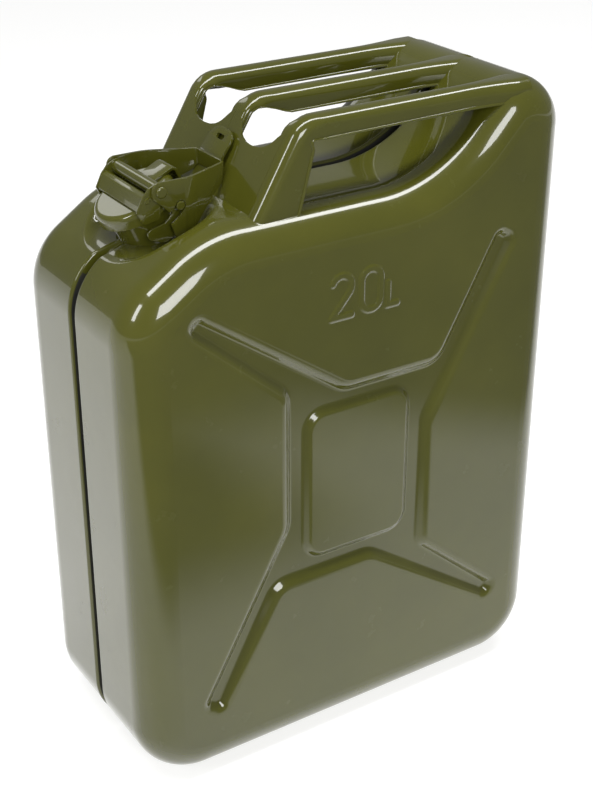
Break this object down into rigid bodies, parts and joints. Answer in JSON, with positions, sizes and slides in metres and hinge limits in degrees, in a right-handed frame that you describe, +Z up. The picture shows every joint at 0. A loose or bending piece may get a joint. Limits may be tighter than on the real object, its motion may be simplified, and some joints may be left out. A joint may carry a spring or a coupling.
{
  "type": "jerry can",
  "caption": "Pressed-steel fuel can with two welded shell halves, three-bar handle, filler neck and hinged cam-lever cap.",
  "frame": {"origin": "middle of the base, at the height the can stands on", "axes": "+Z up; +X to the rear, away from the spout; +Y across the narrow way, to the broad face that is on the right when looking along -X"},
  "size_m": [0.345, 0.165, 0.47],
  "materials": {
    "olive_paint": "gloss",
    "black_rubber": "matt",
    "zinc_steel": "satin"
  },
  "bodies": {
    "can": {"body_shell_near": "olive_paint", "body_shell_far": "olive_paint", "handle_bar_near": "olive_paint", "handle_bar_middle": "olive_paint", "handle_bar_far": "olive_paint", "handle_web_near": "olive_paint", "handle_web_far": "olive_paint", "neck_tube": "olive_paint", "neck_rim": "olive_paint", "breather_tube": "zinc_steel", "closure_bracket": "olive_paint", "trunnion_studs": "olive_paint", "cap_hinge_pin": "olive_paint"},
    "cap": {"cap_cover": "olive_paint", "cap_gasket": "black_rubber", "gasket_retainer": "zinc_steel", "retainer_rivet": "olive_paint", "cap_bridge": "olive_paint", "bridge_hem_rod": "olive_paint", "cap_hinge_strap": "olive_paint", "lever_pivot_pin": "olive_paint", "pivot_washers": "olive_paint"},
    "lever": {"lever_frame": "olive_paint", "lever_roller": "olive_paint"}
  },
  "joints": [
    {"name": "cap_hinge", "type": "hinge", "parent": "can", "child": "cap", "pos_m": [-0.09302, 0, 0.41627], "axis": [0, 1, 0], "range_deg": [0, 95]},
    {"name": "lever_pivot", "type": "hinge", "parent": "cap", "child": "lever", "pos_m": [-0.1202, 0, 0.4276], "axis": [0, 1, 0], "range_deg": [-190, 0]}
  ],
  "couplings": [
    {"joint": "lever_pivot", "follows": "cap_hinge", "ratio": -2}
  ]
}
